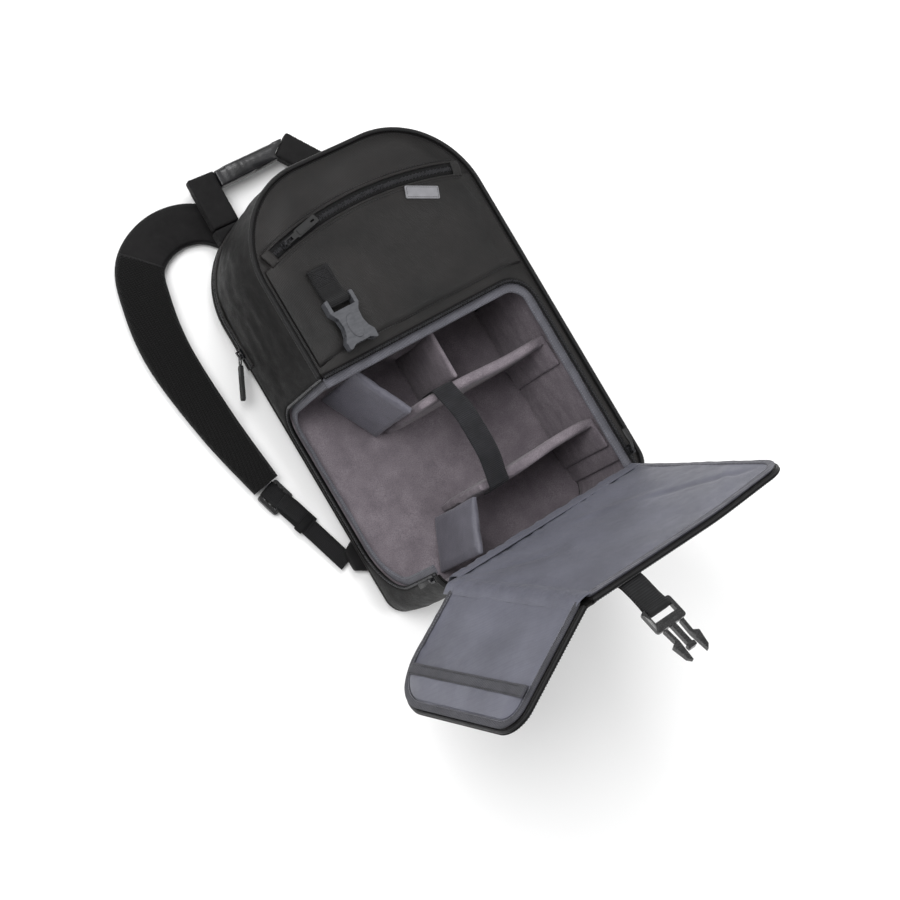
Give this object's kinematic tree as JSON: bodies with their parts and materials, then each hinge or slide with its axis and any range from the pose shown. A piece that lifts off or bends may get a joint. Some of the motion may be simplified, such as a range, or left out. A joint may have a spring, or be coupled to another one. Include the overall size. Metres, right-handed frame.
{
  "type": "drone carrying backpack",
  "caption": "Soft backpack with a zipped, fold-out lower lid, padded dividers, front pocket, shoulder straps, handle and side-release buckle.",
  "frame": {"origin": "centre of the bag's back face, where it rests on the ground when the bag lies on its back", "axes": "+X to the bag's right seen from the front, +Y to the bag's top, +Z out of the bag's front"},
  "size_m": [0.4615, 0.6572, 0.4165],
  "materials": {
    "shell_fabric": "matte woven polyester",
    "piping": "satin",
    "zip_coil": "satin coil",
    "binding_tape": "ribbed grosgrain",
    "fleece": "brushed fleece",
    "divider_nylon": "satin nylon over foam",
    "lid_lining": "satin nylon",
    "webbing": "woven webbing",
    "air_mesh": "air mesh over foam",
    "black_plastic": "moulded acetal",
    "grey_plastic": "moulded acetal",
    "grip_leather": "smooth synthetic leather",
    "metal": "black enamel on zinc",
    "stiffener": "polyethylene sheet",
    "rubber_pull": "moulded rubber",
    "patch": "plain rubber patch",
    "stretch_mesh": "stretch knit"
  },
  "bodies": {
    "bag": {"back_pads": "air_mesh", "back_panel": "shell_fabric", "frame_sheet": "stiffener", "back_liner": "fleece", "gusset": "shell_fabric", "front_panel": "shell_fabric", "front_piping": "piping", "ceiling_panel": "shell_fabric", "ceiling_liner": "fleece", "right_liner": "fleece", "bottom_liner": "fleece", "opening_binding": "binding_tape", "body_zip_track": "zip_coil", "laptop_sleeve": "lid_lining", "upper_divider": "fleece", "lower_divider": "fleece", "upper_left_divider": "divider_nylon", "lower_left_divider": "divider_nylon", "pocket_panel": "shell_fabric", "pocket_zip_track": "zip_coil", "blank_patch": "patch", "buckle_webbing": "webbing", "main_zip_track": "zip_coil", "handle_tabs": "shell_fabric", "left_strap_yoke": "shell_fabric", "left_anchor_tab": "shell_fabric", "right_strap_yoke": "shell_fabric", "right_anchor_tab": "shell_fabric", "side_pocket": "stretch_mesh", "compression_strap": "webbing", "compression_lock": "black_plastic"},
    "battery_divider": {"battery_divider": "fleece"},
    "gear_strap": {"gear_strap": "webbing"},
    "pocket_slider": {"pocket_slider": "metal"},
    "pocket_pull": {"pocket_pull": "rubber_pull"},
    "buckle_socket": {"buckle_socket": "grey_plastic"},
    "main_slider": {"main_slider": "metal"},
    "main_pull": {"main_pull_ring": "metal", "main_pull": "rubber_pull"},
    "handle": {"handle_webbing": "webbing", "handle_grip": "grip_leather"},
    "left_strap": {"left_strap_pad": "air_mesh", "left_ladder_lock": "black_plastic", "left_strap_webbing": "webbing"},
    "right_strap": {"right_strap_pad": "air_mesh", "right_ladder_lock": "black_plastic", "right_strap_webbing": "webbing"},
    "lid": {"lid_shell": "shell_fabric", "lid_liner": "lid_lining", "lid_zip_track": "zip_coil", "lid_webbing": "webbing"},
    "lid_side": {"lid_side_shell": "shell_fabric", "lid_side_liner": "lid_lining", "lid_side_zip_track": "zip_coil", "lid_side_pocket": "lid_lining"},
    "buckle_plug": {"buckle_plug": "black_plastic"},
    "left_latch_arm": {"left_latch_arm": "black_plastic"},
    "right_latch_arm": {"right_latch_arm": "black_plastic"},
    "left_lid_slider": {"left_lid_slider": "metal"},
    "right_lid_slider": {"right_lid_slider": "metal"}
  },
  "joints": [
    {"name": "lid_hinge", "type": "hinge", "parent": "bag", "child": "lid", "pos_m": [0, -0.216, 0.155], "axis": [1, 0, 0], "range_deg": [-106, 45]},
    {"name": "lid_side_fold", "type": "hinge", "parent": "lid", "child": "lid_side", "pos_m": [-0.1375, -0.216, 0.155], "axis": [0, -0.2756, 0.9613], "range_deg": [-120, 30]},
    {"name": "buckle_plug_hinge", "type": "hinge", "parent": "lid", "child": "buckle_plug", "pos_m": [-0.084, -0.31352, 0.39142], "axis": [-1, 0, 0], "range_deg": [-60, 36]},
    {"name": "left_latch_flex", "type": "hinge", "parent": "buckle_plug", "child": "left_latch_arm", "pos_m": [-0.094, -0.33225, 0.39976], "axis": [0, -0.4067, -0.9135], "range_deg": [-6, 0], "stiffness_Nm_per_rad": 0.05},
    {"name": "right_latch_flex", "type": "hinge", "parent": "buckle_plug", "child": "right_latch_arm", "pos_m": [-0.074, -0.33225, 0.39976], "axis": [0, -0.4067, -0.9135], "range_deg": [0, 6], "stiffness_Nm_per_rad": 0.05},
    {"name": "buckle_socket_hinge", "type": "hinge", "parent": "bag", "child": "buckle_socket", "pos_m": [-0.084, 0.082, 0.165], "axis": [-1, 0, 0], "range_deg": [0, 110]},
    {"name": "pocket_slider_run", "type": "hinge", "parent": "bag", "child": "pocket_slider", "pos_m": [0, -0.252, 0.158], "axis": [0, 0, -1], "range_deg": [0, 27]},
    {"name": "pocket_pull_hinge", "type": "hinge", "parent": "pocket_slider", "child": "pocket_pull", "pos_m": [-0.09876, 0.15622, 0.161], "axis": [0.2351, -0.972, 0], "range_deg": [0, 165]},
    {"name": "main_slider_run", "type": "slide", "parent": "bag", "child": "main_slider", "axis": [0, 1, 0], "range_m": [-0.012, 0.03]},
    {"name": "main_pull_hinge", "type": "hinge", "parent": "main_slider", "child": "main_pull", "pos_m": [-0.1427, 0.097, 0.0225], "axis": [0, 0, -1], "range_deg": [-25, 113]},
    {"name": "left_lid_slider_run", "type": "slide", "parent": "bag", "child": "left_lid_slider", "axis": [0, 0, -1], "range_m": [0, 0.05]},
    {"name": "right_lid_slider_run", "type": "slide", "parent": "bag", "child": "right_lid_slider", "axis": [0, 1, 0], "range_m": [0, 0.14]},
    {"name": "handle_hinge", "type": "hinge", "parent": "bag", "child": "handle", "pos_m": [0, 0.226, 0.0263], "axis": [1, 0, 0], "range_deg": [0, 85]},
    {"name": "left_strap_swing", "type": "hinge", "parent": "bag", "child": "left_strap", "pos_m": [-0.148, 0.05, 0.0102], "axis": [0, 1, 0], "range_deg": [0, 85]},
    {"name": "right_strap_swing", "type": "hinge", "parent": "bag", "child": "right_strap", "pos_m": [0.153, 0.05, 0.0102], "axis": [0, -1, 0], "range_deg": [0, 85]},
    {"name": "gear_strap_hinge", "type": "hinge", "parent": "bag", "child": "gear_strap", "pos_m": [-0.012, -0.0425, 0.1263], "axis": [-1, 0, 0], "range_deg": [0, 120]},
    {"name": "battery_divider_slide", "type": "slide", "parent": "bag", "child": "battery_divider", "axis": [1, 0, 0], "range_m": [-0.03, 0.055]}
  ],
  "couplings": [
    {"joint": "right_latch_flex", "follows": "left_latch_flex", "ratio": -1}
  ]
}
